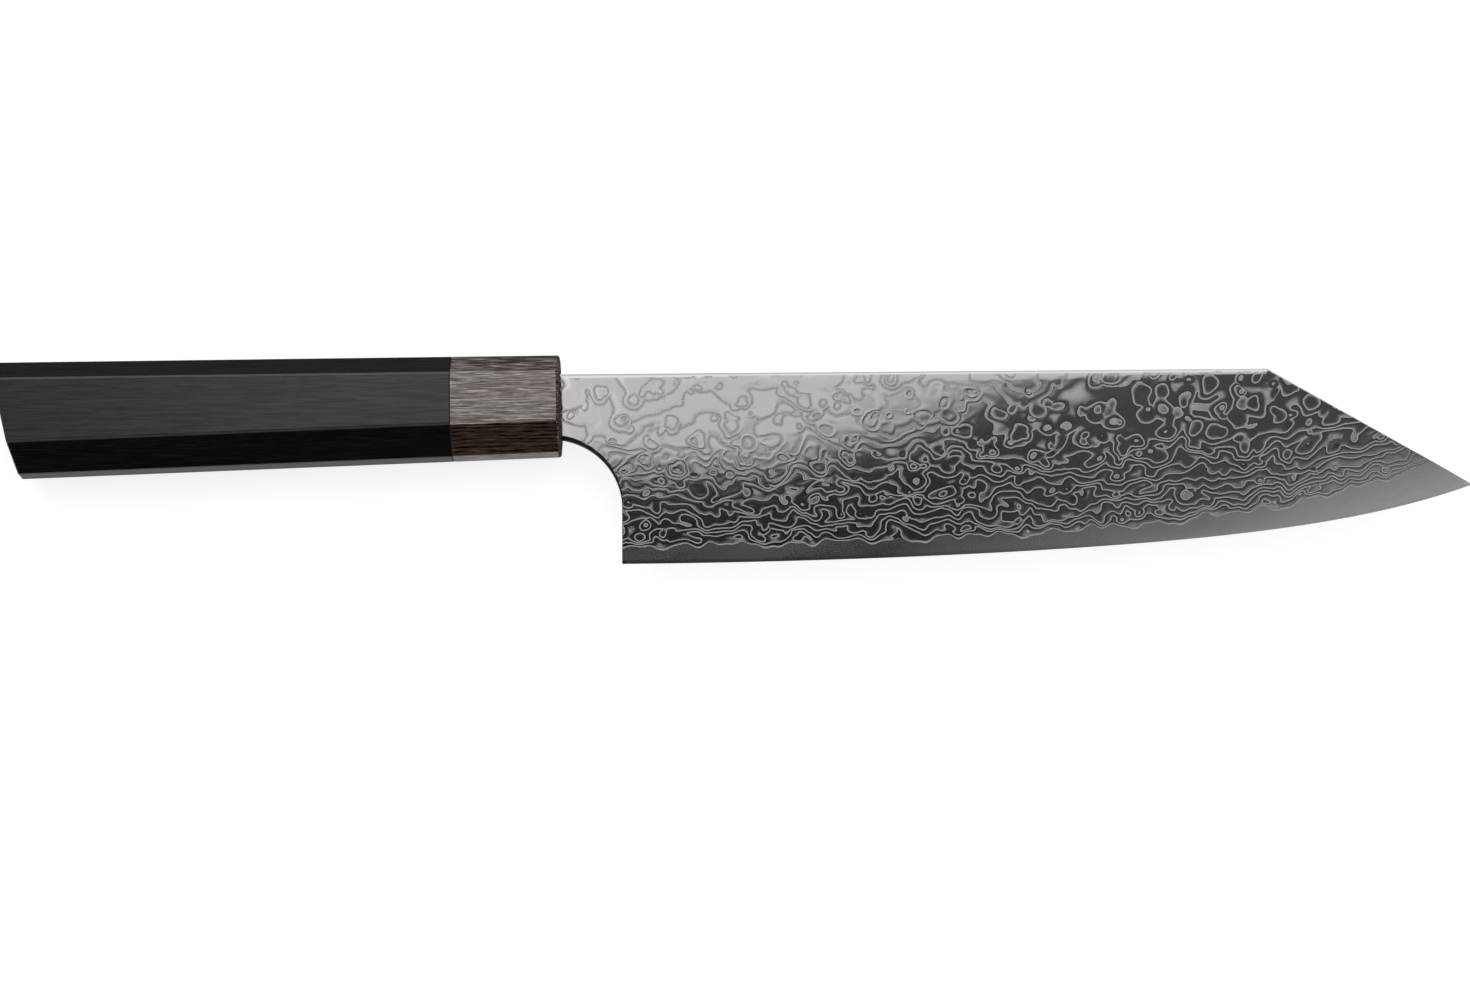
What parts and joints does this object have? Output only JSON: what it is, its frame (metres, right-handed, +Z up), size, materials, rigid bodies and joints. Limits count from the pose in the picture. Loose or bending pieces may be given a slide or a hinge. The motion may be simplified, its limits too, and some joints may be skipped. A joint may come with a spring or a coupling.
{
  "type": "kiritsuke kitchen knife",
  "caption": "Kiritsuke kitchen knife with a clipped tip, a patterned laminated blade and a slanted octagonal ebony handle with a streaked wooden ferrule.",
  "frame": {"origin": "middle of the footprint, on the surface that the knife lies on", "axes": "+X along the spine from the handle to the tip, +Y from the edge to the spine, +Z up out of the blade's right face, through its thickness"},
  "size_m": [0.3666, 0.053, 0.02],
  "materials": {
    "core_steel": "satin polished",
    "damascus_steel": "etched pattern, polished ground",
    "ebony": "fine sanded, oiled",
    "ferrule_wood": "fine sanded, open grain",
    "dowel_wood": "turned, unfinished",
    "bedding_resin": "cast resin",
    "seal_resin": "dark resin"
  },
  "bodies": {
    "root": {"blade_core": "core_steel", "cladding_right": "damascus_steel", "cladding_left": "damascus_steel", "tang_bedding": "bedding_resin", "ferrule": "ferrule_wood", "mouth_seal": "seal_resin", "ferrule_glue": "seal_resin", "tang_dowel": "dowel_wood", "handle_body": "ebony"}
  },
  "joints": []
}
